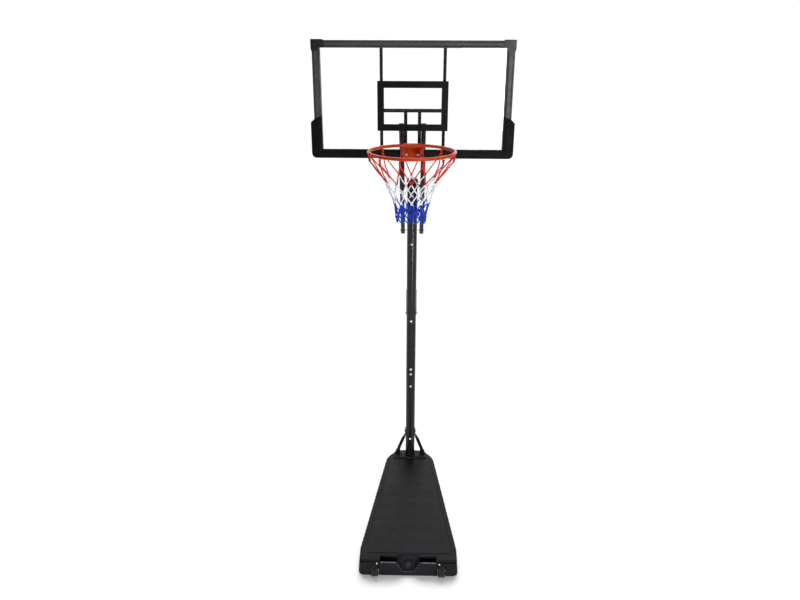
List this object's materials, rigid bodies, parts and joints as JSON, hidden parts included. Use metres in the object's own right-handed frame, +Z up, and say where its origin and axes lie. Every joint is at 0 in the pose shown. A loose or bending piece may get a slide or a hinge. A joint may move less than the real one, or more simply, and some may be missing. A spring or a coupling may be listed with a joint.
{
  "type": "portable basketball hoop",
  "caption": "Free-standing basketball hoop: clear framed board, orange ring and knotted net on a pole with folding lift arms, on a wheeled fillable base.",
  "frame": {"origin": "centre of the base tank's flat underside, on the floor", "axes": "+Z up, +Y towards the pole at the back, board and ring face -Y"},
  "size_m": [1.193, 1.4105, 3.236],
  "materials": {
    "tank_plastic": "blow-moulded black polyethylene, satin",
    "moulded_plastic": "moulded black plastic",
    "gasket_rubber": "soft black rubber",
    "tyre": "solid black wheel tread",
    "zinc": "bright zinc plating",
    "pole_upper_coat": "blue-black powder coat",
    "pole_lower_coat": "black powder coat",
    "steel_coat": "black powder coat",
    "frame_coat": "charcoal powder coat",
    "clear_panel": "clear sheet",
    "target_print": "screen-printed black line",
    "edge_padding": "dense black edge padding",
    "rim_coat": "orange-red powder coat",
    "net_cord": "braided cord in red, white and blue bands"
  },
  "bodies": {
    "stand": {"base_tank": "tank_plastic", "wheel_axles": "zinc", "wheel_well_screws": "zinc", "left_base_strut": "steel_coat", "right_base_strut": "steel_coat", "strut_foot_screws": "zinc", "strut_pole_bolt": "zinc", "lower_pole": "pole_lower_coat", "middle_pole": "pole_lower_coat", "upper_pole": "pole_upper_coat", "pole_foot_plug": "moulded_plastic", "pole_top_cap": "moulded_plastic", "pole_bolts": "zinc", "pole_nuts": "zinc", "arm_pole_bolts": "zinc", "arm_pole_nuts": "zinc", "arm_pole_spacers": "steel_coat", "adjuster_pivot_bolt": "zinc"},
    "filler": {"fill_cap": "moulded_plastic", "fill_cap_gasket": "gasket_rubber"},
    "left_wheel": {"left_wheel_tyre": "tyre", "left_wheel_hub": "moulded_plastic"},
    "right_wheel": {"right_wheel_tyre": "tyre", "right_wheel_hub": "moulded_plastic"},
    "lower_arms": {"lower_arm_left": "steel_coat", "lower_arm_right": "steel_coat", "lower_arm_plugs": "moulded_plastic", "tail_bolt": "zinc", "tail_bush": "steel_coat"},
    "upper_arms": {"upper_arm_left": "steel_coat", "upper_arm_right": "steel_coat", "upper_arm_plugs": "moulded_plastic"},
    "adjuster_outer": {"adjuster_yoke": "steel_coat", "adjuster_tube": "steel_coat", "adjuster_guide": "moulded_plastic", "lock_pin_housing": "zinc"},
    "adjuster_inner": {"adjuster_bar": "zinc"},
    "pull_pin": {"lock_pin": "moulded_plastic"},
    "board": {"backboard_panel": "clear_panel", "frame_top": "frame_coat", "frame_bottom": "steel_coat", "frame_left": "frame_coat", "frame_right": "frame_coat", "top_corner_caps": "moulded_plastic", "left_edge_pad": "edge_padding", "right_edge_pad": "edge_padding", "target_square": "target_print", "rear_bar_left": "steel_coat", "rear_bar_right": "steel_coat", "rear_cross_bar": "steel_coat", "pivot_bar_left": "steel_coat", "pivot_bar_right": "steel_coat", "board_bolts": "zinc", "arm_board_bolts": "zinc", "arm_board_nuts": "zinc", "rim_ring": "rim_coat", "rim_bracket": "rim_coat", "rim_bolts": "zinc", "net_hooks": "rim_coat", "net": "net_cord"}
  },
  "joints": [
    {"name": "height_adjust", "type": "hinge", "parent": "stand", "child": "lower_arms", "pos_m": [0, 0.535, 2.128], "axis": [1, 0, 0], "range_deg": [0, 44.37]},
    {"name": "upper_arm_swing", "type": "hinge", "parent": "stand", "child": "upper_arms", "pos_m": [0, 0.535, 2.298], "axis": [1, 0, 0], "range_deg": [0, 44.38]},
    {"name": "board_level", "type": "hinge", "parent": "lower_arms", "child": "board", "pos_m": [0, 0.075, 2.578], "axis": [1, 0, 0], "range_deg": [-44.38, 0]},
    {"name": "adjuster_tilt", "type": "hinge", "parent": "stand", "child": "adjuster_outer", "pos_m": [0, 0.535, 1.363], "axis": [1, 0, 0], "range_deg": [-0.7795, 0.05]},
    {"name": "adjuster_slide", "type": "slide", "parent": "adjuster_outer", "child": "adjuster_inner", "axis": [0, 0.3317, 0.9434], "range_m": [0, 0.21147]},
    {"name": "pull_pin_slide", "type": "slide", "parent": "adjuster_outer", "child": "pull_pin", "axis": [0, 0.9434, -0.3317], "range_m": [0, 0.01], "stiffness_N_per_m": 600, "springref_m": -0.008},
    {"name": "fill_cap_lift", "type": "slide", "parent": "stand", "child": "filler", "axis": [0, -0.76, 0.65], "range_m": [0, 0.03]},
    {"name": "left_wheel_spin", "type": "hinge", "parent": "stand", "child": "left_wheel", "pos_m": [-0.215, -0.602, 0.042], "axis": [1, 0, 0], "continuous": true},
    {"name": "right_wheel_spin", "type": "hinge", "parent": "stand", "child": "right_wheel", "pos_m": [0.215, -0.602, 0.042], "axis": [1, 0, 0], "continuous": true}
  ],
  "couplings": [
    {"joint": "upper_arm_swing", "follows": "height_adjust", "ratio": 1},
    {"joint": "board_level", "follows": "height_adjust", "ratio": -1},
    {"joint": "adjuster_tilt", "follows": "height_adjust", "ratio": -0.016441},
    {"joint": "adjuster_slide", "follows": "height_adjust", "m_per_rad": 0.27281}
  ]
}
